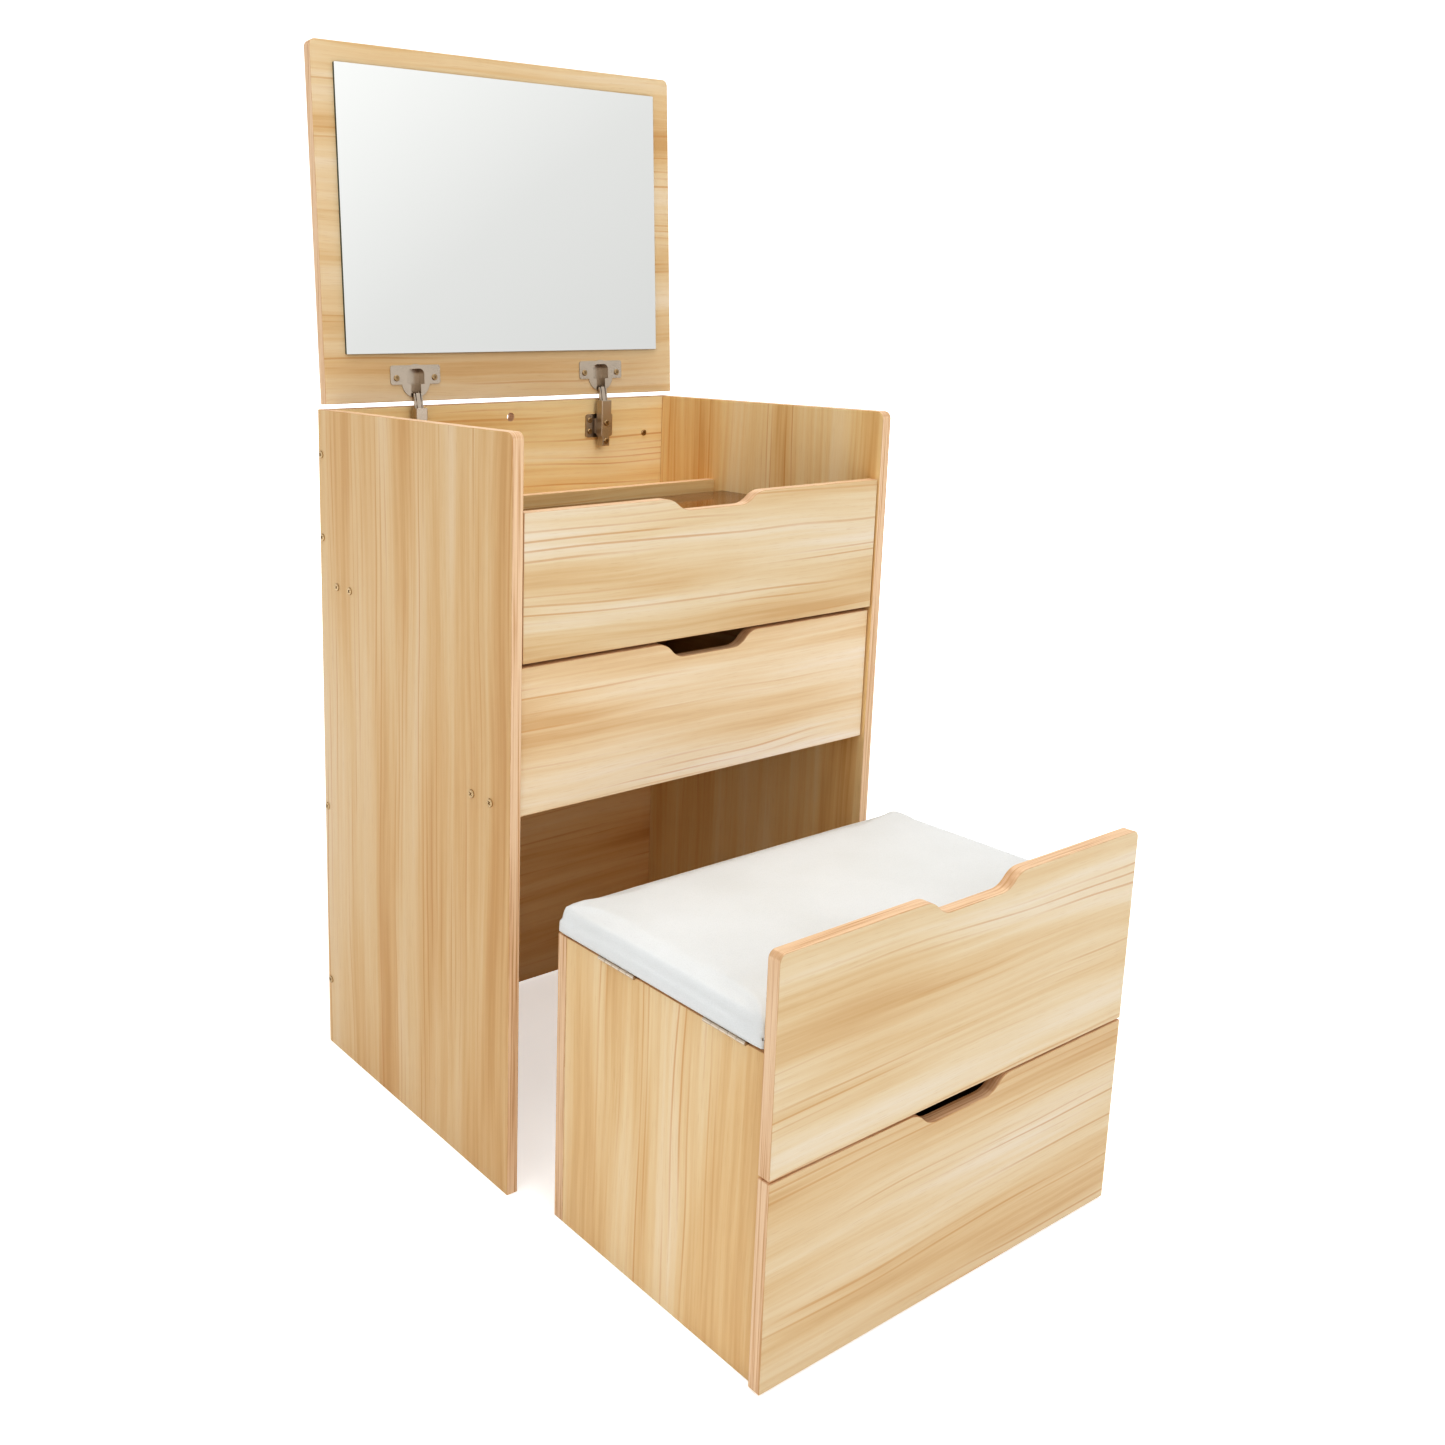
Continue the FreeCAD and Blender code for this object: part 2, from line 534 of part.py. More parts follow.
def add_mirror_lid():
    """The lid board, its mirror, and both hinges from cup to mounting plate."""
    half = LID_WIDTH / 2
    lid = eased(rounded_plate((-half, half), (0, BOARD), (0, LID_LENGTH), LID_CORNER_RADIUS, (LID_LENGTH,)))
    half_mirror = MIRROR_WIDTH / 2
    mirror_z = (MIRROR_MARGIN, MIRROR_MARGIN + MIRROR_LENGTH)
    mirror_x, mirror_y = (-half_mirror, half_mirror), (-MIRROR_THICKNESS, 0)
    mirror = rounded_plate(mirror_x, mirror_y, mirror_z, MIRROR_CORNER_RADIUS, mirror_z)
    pieces["mirror"] = placed_on_lid(mirror)

    arm_y, arm_z = OUTER_ARM_PIVOT
    cup_v, cup_n = OUTER_CUP_PIVOT
    outer_points = [lid_point(cup_v, cup_n), lid_point(*OUTER_KNEE), OUTER_ARM_PIVOT]
    inner_arm_y, inner_arm_z = INNER_ARM_PIVOT
    inner_points = [lid_point(*INNER_TIP), lid_point(*INNER_KNEE), INNER_ARM_PIVOT]
    stub_inner = INNER_HALF_WIDTH + PIN_STUB_GAP
    pocket_reach = POCKET_HALF_WIDTH + PIN_ANCHOR
    cup_pins, cup_screws, arm_pins, plate_screws, arm_screws = [], [], [], [], []
    outer_links, inner_links, back_holes = [], [], []
    for name, x in (("left", -HINGE_X), ("right", HINGE_X)):
        cup = hinge_cup(x)
        seat = rod(CUP_RADIUS, (x, 0, CUP_CENTRE), (0, 1, 0), CUP_DEPTH)
        lid = lid.cut(seat)
        here_pins = [pin(span, cup_n, cup_v) for span in stub_spans(x, stub_inner, pocket_reach)]
        inner_v, inner_n = INNER_CUP_PIN
        here_pins.append(pin((x - pocket_reach, x + pocket_reach), inner_n, inner_v))
        cup = cup.cut(here_pins)
        for side in (-1, 1):
            point = (x + side * FLANGE_SCREW_SPACING / 2, -FLANGE_THICKNESS, FLANGE_SCREW_HEIGHT)
            cup_screws.append(screw(point, (0, 1, 0), CUP_SCREW))
            hole = pilot(point, (0, 1, 0), CUP_SCREW)
            lid = lid.cut(hole)
            cup = cup.cut(hole)
        cup_pins += here_pins
        pieces[name + "_hinge_cup"] = placed_on_lid(cup)

        arm = hinge_arm(x)
        plate = hinge_plate(x)
        here_pins = [pin(span, arm_y, arm_z) for span in stub_spans(x, stub_inner, ARM_HALF_WIDTH)]
        here_pins.append(pin((x - ARM_HALF_WIDTH, x + ARM_HALF_WIDTH), inner_arm_y, inner_arm_z))
        arm = arm.cut(here_pins)
        arm_pins += here_pins
        for z in ARM_SCREW_HEIGHTS:
            point = (x, ARM_FRONT, z)
            arm_screws.append(screw(point, (0, 1, 0), ARM_SCREW))
            hole = pilot(point, (0, 1, 0), ARM_SCREW)
            arm = arm.cut(hole)
            plate = plate.cut(hole)
        for side in (-1, 1):
            for z in PLATE_SCREW_HEIGHTS:
                point = (x + side * PLATE_SCREW_X, BACK - BOARD - PLATE_THICKNESS, z)
                plate_screws.append(screw(point, (0, 1, 0), PLATE_SCREW))
                hole = pilot(point, (0, 1, 0), PLATE_SCREW)
                plate = plate.cut(hole)
                back_holes.append(hole)
        pieces[name + "_hinge_arm"] = arm
        pieces[name + "_hinge_plate"] = plate
        for span in stub_spans(x, OUTER_PLATE_INNER, OUTER_PLATE_OUTER):
            outer_links.append(link_plate(span, outer_points, [outer_points[0], outer_points[2]]))
        span = (x - INNER_HALF_WIDTH, x + INNER_HALF_WIDTH)
        inner_links.append(link_plate(span, inner_points, [inner_points[2]]))
    pieces["lid_board"] = placed_on_lid(lid)
    pieces["hinge_cup_pins"] = placed_on_lid(group(cup_pins))
    pieces["hinge_cup_screws"] = placed_on_lid(group(cup_screws))
    pieces["hinge_arm_pins"] = group(arm_pins)
    pieces["hinge_arm_screws"] = group(arm_screws)
    pieces["hinge_plate_screws"] = group(plate_screws)
    pieces["hinge_outer_links"] = group(outer_links)
    pieces["hinge_inner_links"] = group(inner_links)
    return back_holes


def seat_hinges():
    """The fixed leaves, the moving leaves and the pins of the two butt hinges."""
    fixed, moving, pins = [], [], []
    box_edge = -STOOL_BOX_WIDTH / 2
    top = STOOL_BOX_TOP
    for start, end in SEAT_HINGE_SPANS:
        length = end - start
        first_y = STOOL_FRONT + start
        step = length / SEAT_KNUCKLES
        leaf_x, leaf_y = (SEAT_HINGE_X, box_edge + SEAT_LEAF_WIDTH), (first_y, first_y + length)
        fixed_leaf = box(leaf_x, leaf_y, (top, top + SEAT_LEAF_THICKNESS))
        moving_leaf = box(leaf_x, leaf_y, (SEAT_BOTTOM - SEAT_LEAF_THICKNESS, SEAT_BOTTOM))
        for index in range(SEAT_KNUCKLES):
            low = first_y + index * step + SEAT_KNUCKLE_GAP
            height = step - 2 * SEAT_KNUCKLE_GAP
            barrel = rod(SEAT_BARREL_RADIUS, (SEAT_HINGE_X, low, SEAT_HINGE_Z), (0, 1, 0), height)
            space_start = (SEAT_HINGE_X, low - SEAT_KNUCKLE_GAP, SEAT_HINGE_Z)
            space = rod(SEAT_BARREL_RADIUS + SEAT_KNUCKLE_GAP, space_start, (0, 1, 0), step)
            if index % 2 == 0:
                moving_leaf = moving_leaf.cut(space)
                fixed_leaf = fixed_leaf.fuse(barrel)
            else:
                fixed_leaf = fixed_leaf.cut(space)
                moving_leaf = moving_leaf.fuse(barrel)
        pin_start = (SEAT_HINGE_X, first_y, SEAT_HINGE_Z)
        hinge_pin = rod(SEAT_PIN_RADIUS, pin_start, (0, 1, 0), length)
        loose_hole = rod(SEAT_PIN_RADIUS + PIN_CLEARANCE, pin_start, (0, 1, 0), length)
        fixed.append(fixed_leaf.cut(hinge_pin))
        moving.append(moving_leaf.cut(loose_hole))
        pins.append(hinge_pin)
    return fixed, moving, pins


def add_stool():
    """The storage stool: box, upper front, padded seat on butt hinges and the drawer's runners."""
    half_box = STOOL_BOX_WIDTH / 2
    half_front = STOOL_WIDTH / 2
    inner = half_box - BOARD
    front_y = (STOOL_FRONT, STOOL_FRONT + BOARD)
    side_y = (STOOL_FRONT + BOARD, STOOL_FRONT + STOOL_BOX_BACK - BOARD)
    back_y = (side_y[1], side_y[1] + BOARD)
    side = board((inner, half_box), side_y, (0, STOOL_BOX_TOP))
    front_z = (STOOL_FRONT_BOTTOM, STOOL_FRONT_TOP)
    pieces["stool_upper_front"] = notched_front(
        half_front, front_y, front_z, STOOL_NOTCH_DEPTH, STOOL_CORNER_RADIUS
    )
    pieces["stool_back"] = board((-half_box, half_box), back_y, (0, STOOL_BOX_TOP))
    floor_z = (STOOL_FLOOR_BOTTOM, STOOL_FLOOR_BOTTOM + BOARD)
    pieces["stool_storage_floor"] = board((-inner, inner), side_y, floor_z)

    runner_y = (side_y[0] + STOOL_RUNNER_FRONT_INSET, side_y[1] - STOOL_RUNNER_BACK_INSET)
    names = ("stool_left_runner", "stool_right_runner")
    screws, holes = add_runners(names, inner, runner_y, STOOL_RUNNER_HEIGHT)
    pieces["stool_left_side"] = mirrored(side).cut(holes)
    pieces["stool_right_side"] = side.cut(holes)
    pieces["stool_runner_screws"] = group(screws)

    fixed, moving, pins = seat_hinges()
    pieces["seat_hinge_fixed_leaves"] = group(fixed)
    pieces["seat_hinge_moving_leaves"] = group(moving)
    pieces["seat_hinge_pins"] = group(pins)
    buffer_x = half_box - BOARD / 2
    buffers = []
    for y in (side_y[0] + BUFFER_INSET, side_y[1] - BUFFER_INSET):
        buffers.append(rod(BUFFER_RADIUS, (buffer_x, y, STOOL_BOX_TOP), (0, 0, 1), BUFFER_HEIGHT))
    pieces["seat_buffers"] = group(buffers)

    half_seat = SEAT_WIDTH / 2
    seat_y = (STOOL_FRONT + SEAT_FRONT, STOOL_FRONT + SEAT_BACK)
    board_y = (seat_y[0] + SEAT_WRAP, seat_y[1] - SEAT_WRAP)
    half_board = half_seat - SEAT_WRAP
    board_z = (SEAT_BOTTOM, SEAT_BOTTOM + SEAT_BOARD_THICKNESS)
    seat_board = box((-half_board, half_board), board_y, board_z)
    pad = eased(box((-half_seat, half_seat), seat_y, (SEAT_BOTTOM, SEAT_TOP)), SEAT_ROUNDING)
    pieces["seat_board"] = seat_board
    pieces["seat_cushion"] = pad.cut(seat_board)


boards, cabinet_holes = add_cabinet()
runner_screws = []
for level, z, y in CABINET_RUNNERS:
    names = ("cabinet_{}_left_runner".format(level), "cabinet_{}_right_runner".format(level))
    made, drilled = add_runners(names, OPENING, y, z)
    runner_screws += made
    cabinet_holes += drilled
pieces["cabinet_runner_screws"] = group(runner_screws)
cabinet_holes += add_mirror_lid()
for name, shape in boards.items():
    near = [h for h in cabinet_holes if h.BoundBox.intersect(shape.BoundBox)]
    pieces[name] = shape.cut(near) if near else shape

add_stool()
for drawer in DRAWERS:
    add_drawer(**drawer)

whole = group(list(pieces.values())).optimalBoundingBox()
shift = Vector(0, -(whole.YMin + whole.YMax) / 2, 0)
os.makedirs("parts", exist_ok=True)
for name, shape in pieces.items():
    shape.translate(shift)
    shape.exportStep("parts/{}.step".format(name))
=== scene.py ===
import math

import bmesh
import bpy
from mathutils import Matrix, Vector


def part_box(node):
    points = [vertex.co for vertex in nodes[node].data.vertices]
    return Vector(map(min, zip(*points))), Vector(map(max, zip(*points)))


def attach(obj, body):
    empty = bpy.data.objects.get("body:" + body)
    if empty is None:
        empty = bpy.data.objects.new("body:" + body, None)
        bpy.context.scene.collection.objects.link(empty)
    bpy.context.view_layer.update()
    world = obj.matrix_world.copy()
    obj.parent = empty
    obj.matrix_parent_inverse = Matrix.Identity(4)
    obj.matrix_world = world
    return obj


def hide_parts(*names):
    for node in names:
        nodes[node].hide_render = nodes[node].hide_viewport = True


# Vanity table with a flip-up mirror lid, drawers and a padded storage stool. Metres, Z up, the user on the -Y side.

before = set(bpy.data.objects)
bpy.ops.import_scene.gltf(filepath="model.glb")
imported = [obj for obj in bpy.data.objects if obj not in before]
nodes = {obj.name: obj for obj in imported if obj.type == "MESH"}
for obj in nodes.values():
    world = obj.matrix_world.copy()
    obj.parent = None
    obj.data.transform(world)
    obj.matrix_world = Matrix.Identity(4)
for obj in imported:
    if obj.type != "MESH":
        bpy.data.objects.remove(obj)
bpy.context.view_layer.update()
scene = bpy.context.scene

# Camera: eye in metres, angles in degrees, lens and sensor in millimetres, shift as a share of the frame
EYE = (-0.9351, -0.9932, 0.8188)
YAW, PITCH, ROLL = 33.806, 11.556, 0.057
SENSOR = 36.0
LENS = 34.9785
SHIFT = (0.178201, -0.084775)

# Studio
WORLD_LIGHT = 0.40
WORLD_IN_MIRROR = 0.78
FLOOR_GLOW = (0.38, 0.9)
FLOOR_FADE = (0.7, 2.2)
FLOOR_REACH = 14.0
FLOOR_DROP = 0.0004
FLOOR_TONES = ((0.3, (0.90, 0.90, 0.895)), (0.7, (0.92, 0.92, 0.915)))
WORLD_LEAN = (-0.9, 0.0, 1.0)
WORLD_SPAN = 0.8
WORLD_GREYS = ((0.0, 0.62), (0.17, 0.72), (0.275, 0.78), (0.40, 0.95), (0.7, 1.0), (1.0, 1.0))
WORLD_BLUE = 0.992
LAMP_TARGET = (0.0, 0.0, 0.5)
LAMPS = {
    "key": ((-1.0, -6.0, 3.2), 3.6, 60.0),
    "top": ((0.2, -0.2, 6.0), 4.6, 115.0),
    "left": ((-4.2, -2.0, 4.2), 2.9, 24.0),
}

# Padded seat
PAD_LIFT = 0.0003
PAD_SKIRT = 0.009
PAD_START_INSET = 0.0015
PAD_START_TOP = 0.0025
PAD_EDGE = 0.006
PAD_EDGE_STEPS = 4
PAD_VOXEL = 0.004
PAD_PRESSURE = 4.0
CLOTH_QUALITY = 6
CLOTH_MASS = 0.3
CLOTH_STRETCH = 12.0
CLOTH_SHEAR = 6.0
CLOTH_BENDING = 1.5
PAD_FRAMES = 20
PAD_CAP = 0.0035
PAD_HELD = 0.003
CORNER_REACH = 0.05
TUCK_IN = 0.008
TUCK_DEPTH = 0.0012
TUCK_WIDTH = 0.0022
TUCK_FADE = 0.006
PUCKER_CENTRE = 0.002
PUCKER_DEPTH = 0.0006
PUCKER_FADE = 0.01
PUCKER_REACH = 0.014
PUCKERS = 9.0
CUTTER_DEPTH = 0.02
PAD_WALL = 0.0014
BOARD_CLEARANCE = 0.0002


# ---------------------------------------------------------------- materials


class Finish:
    """A material being built: short ways to add nodes and join them."""

    def __init__(self, name):
        self.material = bpy.data.materials.new(name)
        self.material.use_nodes = True
        self.tree = self.material.node_tree
        self.shader = self.tree.nodes["Principled BSDF"]
        coordinates = self.add("ShaderNodeTexCoord")
        self.place = coordinates.outputs["Object"]
        self.facing = coordinates.outputs["Normal"]

    def add(self, kind, inputs=None, **settings):
        """A new node. Inputs are numbers or other nodes' outputs."""
        node = self.tree.nodes.new(kind)
        for key, value in settings.items():
            setattr(node, key, value)
        for key, value in (inputs or {}).items():
            self.join(value, node.inputs[key])
        return node

    def join(self, value, socket):
        """Sets an input to a number, a colour or another node's output."""
        if isinstance(value, bpy.types.NodeSocket):
            self.tree.links.new(value, socket)
        else:
            socket.default_value = value

    def maths(self, operation, *values, clamp=False):
        """One step of arithmetic."""
        inputs = dict(enumerate(values))
        return self.add("ShaderNodeMath", inputs, operation=operation, use_clamp=clamp).outputs[0]

    def split(self, vector):
        """The X, Y and Z parts of a vector, by name."""
        outputs = self.add("ShaderNodeSeparateXYZ", {0: vector}).outputs
        return {axis: outputs[axis] for axis in "XYZ"}

    def stretched(self, x, y, z, scales):
        """A vector from three parts, each times its own scale."""
        parts = [self.maths("MULTIPLY", part, scale) for part, scale in zip((x, y, z), scales)]
        return self.add("ShaderNodeCombineXYZ", dict(enumerate(parts))).outputs[0]

    def noise(self, vector, scale=1.0, detail=2.0, roughness=0.5, distortion=0.0):
        """Soft random values from 0 to 1."""
        inputs = {
            "Vector": vector,
            "Scale": scale,
            "Detail": detail,
            "Roughness": roughness,
            "Distortion": distortion,
        }
        return self.add("ShaderNodeTexNoise", inputs).outputs["Fac"]

    def between(self, value, low, high, to_low=0.0, to_high=1.0):
        """Carries value from one range to another with soft ends."""
        inputs = {"Value": value, 1: low, 2: high, 3: to_low, 4: to_high}
        return self.add("ShaderNodeMapRange", inputs, interpolation_type="SMOOTHSTEP").outputs[0]

    def ramp(self, value, stops):
        """A colour from a list of (position, colour)."""
        node = self.add("ShaderNodeValToRGB", {"Fac": value})
        ramp = node.color_ramp
        while len(ramp.elements) < len(stops):
            ramp.elements.new(0.5)
        for element, (position, colour) in zip(ramp.elements, stops):
            element.position = position
            element.color = (*colour, 1.0)
        return node.outputs["Color"]

    def mix(self, share, a, b, blend="MIX"):
        """Two colours mixed."""
        node = self.add("ShaderNodeMix", data_type="RGBA", blend_type=blend)
        for socket, value in zip((node.inputs[0], node.inputs[6], node.inputs[7]), (share, a, b)):
            self.join(value if not isinstance(value, tuple) else (*value, 1.0), socket)
        return node.outputs[2]

    def bump(self, height, distance, strength=1.0):
        """Surface relief from a height between 0 and 1."""
        inputs = {"Height": height, "Distance": distance, "Strength": strength}
        return self.add("ShaderNodeBump", inputs).outputs["Normal"]

    def eased(self):
        """1 on the rounded strips between faces, 0 on the faces."""
        size = self.split(self.facing)
        sizes = [self.maths("ABSOLUTE", size[axis]) for axis in "XYZ"]
        largest = self.maths("MAXIMUM", self.maths("MAXIMUM", sizes[0], sizes[1]), sizes[2])
        return self.between(largest, 0.88, 0.985, 1.0, 0.0)

    def finish(self, **sockets):
        """Joins values to the shader's sockets and returns the material."""
        names = {"colour": "Base Color", "specular": "Specular IOR Level"}
        for key, value in sockets.items():
            name = names.get(key, key.replace("_", " ").title())
            name = {"Ior": "IOR"}.get(name, name)
            if isinstance(value, tuple) and len(value) == 3:
                value = (*value, 1.0)
            self.join(value, self.shader.inputs[name])
        return self.material


def wood(name, grain, face, sheet_place, tint_and_painted_light):
    """Light oak laminate. The grain runs along one axis on the faces, and the other sides are edge banding."""
    f = Finish(name)
    axes = f.split(f.place)
    normal = f.split(f.facing)
    across_axis = next(axis for axis in "XYZ" if axis not in (grain, face))
    along, across, depth = axes[grain], axes[across_axis], axes[face]
    layer = f.maths("ADD", f.maths("MULTIPLY", depth, DEPTH_SHARE), sheet_place * SHEET_STEP)

    drift = f.noise(f.stretched(along, across, layer, WOOD_SCALES["drift"]), detail=1.5)
    bent = f.maths("MULTIPLY_ADD", f.maths("SUBTRACT", drift, 0.5), GRAIN_BEND, across)
    bands = f.noise(f.stretched(along, bent, layer, WOOD_SCALES["bands"]), detail=4.0, roughness=0.5)
    streak = f.noise(f.stretched(along, bent, layer, WOOD_SCALES["streak"]), detail=3.0, roughness=0.55)
    wander = f.noise(f.stretched(along, bent, layer, WOOD_SCALES["wander"]), detail=1.0)
    rows = f.maths("MULTIPLY_ADD", wander, LINE_WANDER, f.maths("MULTIPLY", bent, LINE_PITCH))
    where = f.noise(f.stretched(along, bent, layer, WOOD_SCALES["where"]), detail=2.0)
    line = f.between(f.maths("SINE", rows), 0.6, 1.0)
    line = f.maths("MULTIPLY", line, f.between(where, 0.50, 0.68))
    pores = f.noise(f.stretched(along, bent, layer, WOOD_SCALES["pores"]), detail=2.0)
    pores = f.between(pores, 0.58, 0.72)

    tone = f.maths("MULTIPLY_ADD", f.maths("SUBTRACT", streak, 0.5), STREAK_SHARE, bands)
    colour = f.ramp(tone, WOOD_TONES)
    colour = f.mix(f.maths("MULTIPLY", line, LINE_SHARE), colour, LINE_TONE)
    colour = f.mix(f.maths("MULTIPLY", pores, PORE_SHARE), colour, PORE_TONE)

    strip = f.maths("ADD", along, across)
    plies = f.noise(f.stretched(depth, strip, layer, WOOD_SCALES["plies"]), detail=3.0, roughness=0.55)
    band = f.ramp(plies, BAND_TONES)
    on_face = f.between(f.maths("ABSOLUTE", normal[face]), 0.6, 0.8)
    # On the faces the board's tint multiplies the colour; for some boards this tint is painted light or painted
    # shade standing in for how light falls on them
    colour = f.mix(on_face, band, f.mix(1.0, colour, tint_and_painted_light, "MULTIPLY"))
    broken = f.between(f.noise(f.place, 60.0, 3.0), 0.35, 0.6, 0.25, 0.6)
    worn = f.maths("MULTIPLY", f.eased(), broken)
    colour = f.mix(worn, colour, WORN_TONE)

    rough = f.between(streak, 0.3, 0.7, 0.40, 0.50)
    rough = f.maths("MULTIPLY_ADD", worn, 0.12, rough)
    height = f.maths("MULTIPLY_ADD", pores, -0.6, streak)
    relief = f.bump(height, WOOD_RELIEF, 0.35)
    return f.finish(colour=colour, roughness=rough, normal=relief, specular=WOOD_SPECULAR)


def srgb(red, green, blue):
    """A linear colour from 0 to 255 values."""
    values = [value / 255 for value in (red, green, blue)]
    return tuple(v / 12.92 if v <= 0.04045 else ((v + 0.055) / 1.055) ** 2.4 for v in values)


# Wood figure: noise scales along the grain, across it and through the sheet
WOOD_SCALES = {
    "drift": (2.6, 8.0, 1.0),
    "bands": (1.5, 22.0, 1.0),
    "streak": (3.2, 210.0, 1.0),
    "wander": (2.5, 24.0, 2.0),
    "where": (2.6, 46.0, 3.0),
    "pores": (45.0, 1500.0, 1.0),
    "plies": (820.0, 7.0, 1.0),
}
SHEET_STEP = 7.31
DEPTH_SHARE = 0.15
GRAIN_BEND = 0.026
LINE_PITCH = 760.0
LINE_WANDER = 12.0
STREAK_SHARE = 0.30
LINE_SHARE = 0.55
PORE_SHARE = 0.25
WOOD_RELIEF = 0.00012
WOOD_SPECULAR = 0.28

WOOD_TONES = (
    (0.30, srgb(218, 178, 126)),
    (0.43, srgb(231, 199, 152)),
    (0.55, srgb(238, 213, 173)),
    (0.70, srgb(243, 224, 195)),
)
LINE_TONE = srgb(208, 150, 90)
PORE_TONE = srgb(208, 166, 117)
BAND_TONES = (
    (0.36, srgb(206, 164, 124)),
    (0.46, srgb(229, 195, 160)),
    (0.60, srgb(238, 209, 178)),
)
WORN_TONE = srgb(190, 150, 112)


def metal(name, tone, low, high, brushed):
    """Plated steel with fine scratches and slightly dull patches."""
    f = Finish(name)
    axes = f.split(f.place)
    scratches = f.noise(f.stretched(axes["X"], axes["Y"], axes["Z"], brushed), detail=3.0)
    patches = f.noise(f.place, 35.0, 2.0)
    dark = tuple(value * 0.96 for value in tone)
    colour = f.mix(f.between(patches, 0.25, 0.75), dark, tone)
    rough = f.between(f.maths("ADD", scratches, patches), 0.6, 1.4, low, high)
    return f.finish(
        colour=f.mix(f.maths("MULTIPLY", f.eased(), 0.25), colour, tone),
        metallic=1.0,
        roughness=rough,
        normal=f.bump(scratches, 0.000002, 0.3),
    )


def mirror_glass(name):
    """Silvered glass with faint wipe marks, and a darker ground rim."""
    f = Finish(name)
    normal = f.split(f.facing)
    rim = f.between(f.maths("ABSOLUTE", normal["Y"]), 0.9, 0.99, 1.0, 0.0)
    wipes = f.noise(f.place, 9.0, 4.0, 0.6, 1.5)
    colour = f.mix(rim, srgb(246, 247, 246), srgb(108, 118, 116))
    rough = f.maths("MULTIPLY_ADD", rim, 0.3, f.between(wipes, 0.45, 0.75, 0.012, 0.03))
    return f.finish(colour=colour, metallic=1.0, roughness=rough)


def bronze_glass(name):
    """Dark tinted glass, glossy, with faint smears."""
    f = Finish(name)
    smears = f.noise(f.place, 7.0, 3.0, 0.6, 1.0)
    colour = f.ramp(smears, ((0.3, srgb(120, 78, 45)), (0.7, srgb(134, 90, 54))))
    rough = f.between(smears, 0.4, 0.8, 0.03, 0.09)
    return f.finish(colour=colour, roughness=rough, transmission_weight=0.35, ior=1.5)


def leatherette(name):
    """Off-white coated cloth with a fine pebbled grain."""
    f = Finish(name)
    pebbles = f.add("ShaderNodeTexVoronoi", {"Vector": f.place, "Scale": 620.0}, feature="DISTANCE_TO_EDGE")
    grain = f.between(pebbles.outputs["Distance"], 0.0, 0.16)
    broad = f.noise(f.place, 11.0, 4.0, 0.55)
    colour = f.ramp(broad, ((0.3, srgb(230, 232, 232)), (0.7, srgb(235, 237, 238))))
    colour = f.mix(f.maths("MULTIPLY", f.maths("SUBTRACT", 1.0, grain), 0.18), colour, srgb(210, 212, 210))
    height = f.maths("MULTIPLY_ADD", broad, 0.6, grain)
    rough = f.between(broad, 0.3, 0.7, 0.44, 0.56)
    return f.finish(
        colour=colour,
        roughness=rough,
        normal=f.bump(height, 0.00015, 0.5),
        sheen_weight=0.08,
        specular=0.4,
    )


def hardboard(name):
    """Pressed fibre board."""
    f = Finish(name)
    fibres = f.noise(f.place, 420.0, 5.0, 0.7, 0.8)
    clouds = f.noise(f.place, 25.0, 3.0)
    tone = f.maths("MULTIPLY_ADD", clouds, 0.5, f.maths("MULTIPLY", fibres, 0.5))
    stops = ((0.35, srgb(150, 112, 74)), (0.55, srgb(186, 148, 104)), (0.7, srgb(206, 172, 128)))
    colour = f.ramp(tone, stops)
    rough = f.between(fibres, 0.3, 0.7, 0.55, 0.75)
    return f.finish(colour=colour, roughness=rough, normal=f.bump(fibres, 0.0002, 0.4))


def moulded(name, tone, rough_low, rough_high):
    """Moulded plastic or rubber with a faint texture and dull edges."""
    f = Finish(name)
    fine = f.noise(f.place, 900.0, 3.0)
    clouds = f.noise(f.place, 40.0, 2.0)
    dark = tuple(value * 0.8 for value in tone)
    colour = f.mix(f.between(clouds, 0.3, 0.7), dark, tone)
    colour = f.mix(f.maths("MULTIPLY", f.eased(), 0.4), colour, dark)
    rough = f.between(fine, 0.3, 0.7, rough_low, rough_high)
    return f.finish(colour=colour, roughness=rough, normal=f.bump(fine, 0.00005, 0.5))


def paint(node, material):
    """Gives a CAD node one material."""
    mesh = nodes[node].data
    mesh.materials.clear()
    mesh.materials.append(material)


# Grain axis and thickness axis of every board
BOARDS = {
    "left_side_panel": "ZX",
    "right_side_panel": "ZX",
    "upper_back_panel": "XY",
    "lower_back_panel": "XY",
    "well_floor": "XZ",
    "compartment_divider": "XY",
    "front_stretcher": "XZ",
    "glass_cleats": "YX",
    "lid_board": "XY",
    "stool_upper_front": "XY",
    "stool_left_side": "ZX",
    "stool_right_side": "ZX",
    "stool_back": "XY",
    "stool_storage_floor": "XZ",
    "seat_board": "XZ",
}
for drawer in ("upper_drawer", "lower_drawer", "stool_drawer"):
    BOARDS.update({drawer + "_front": "XY", drawer + "_back": "XY"})
    BOARDS.update({drawer + "_left_side": "YX", drawer + "_right_side": "YX"})

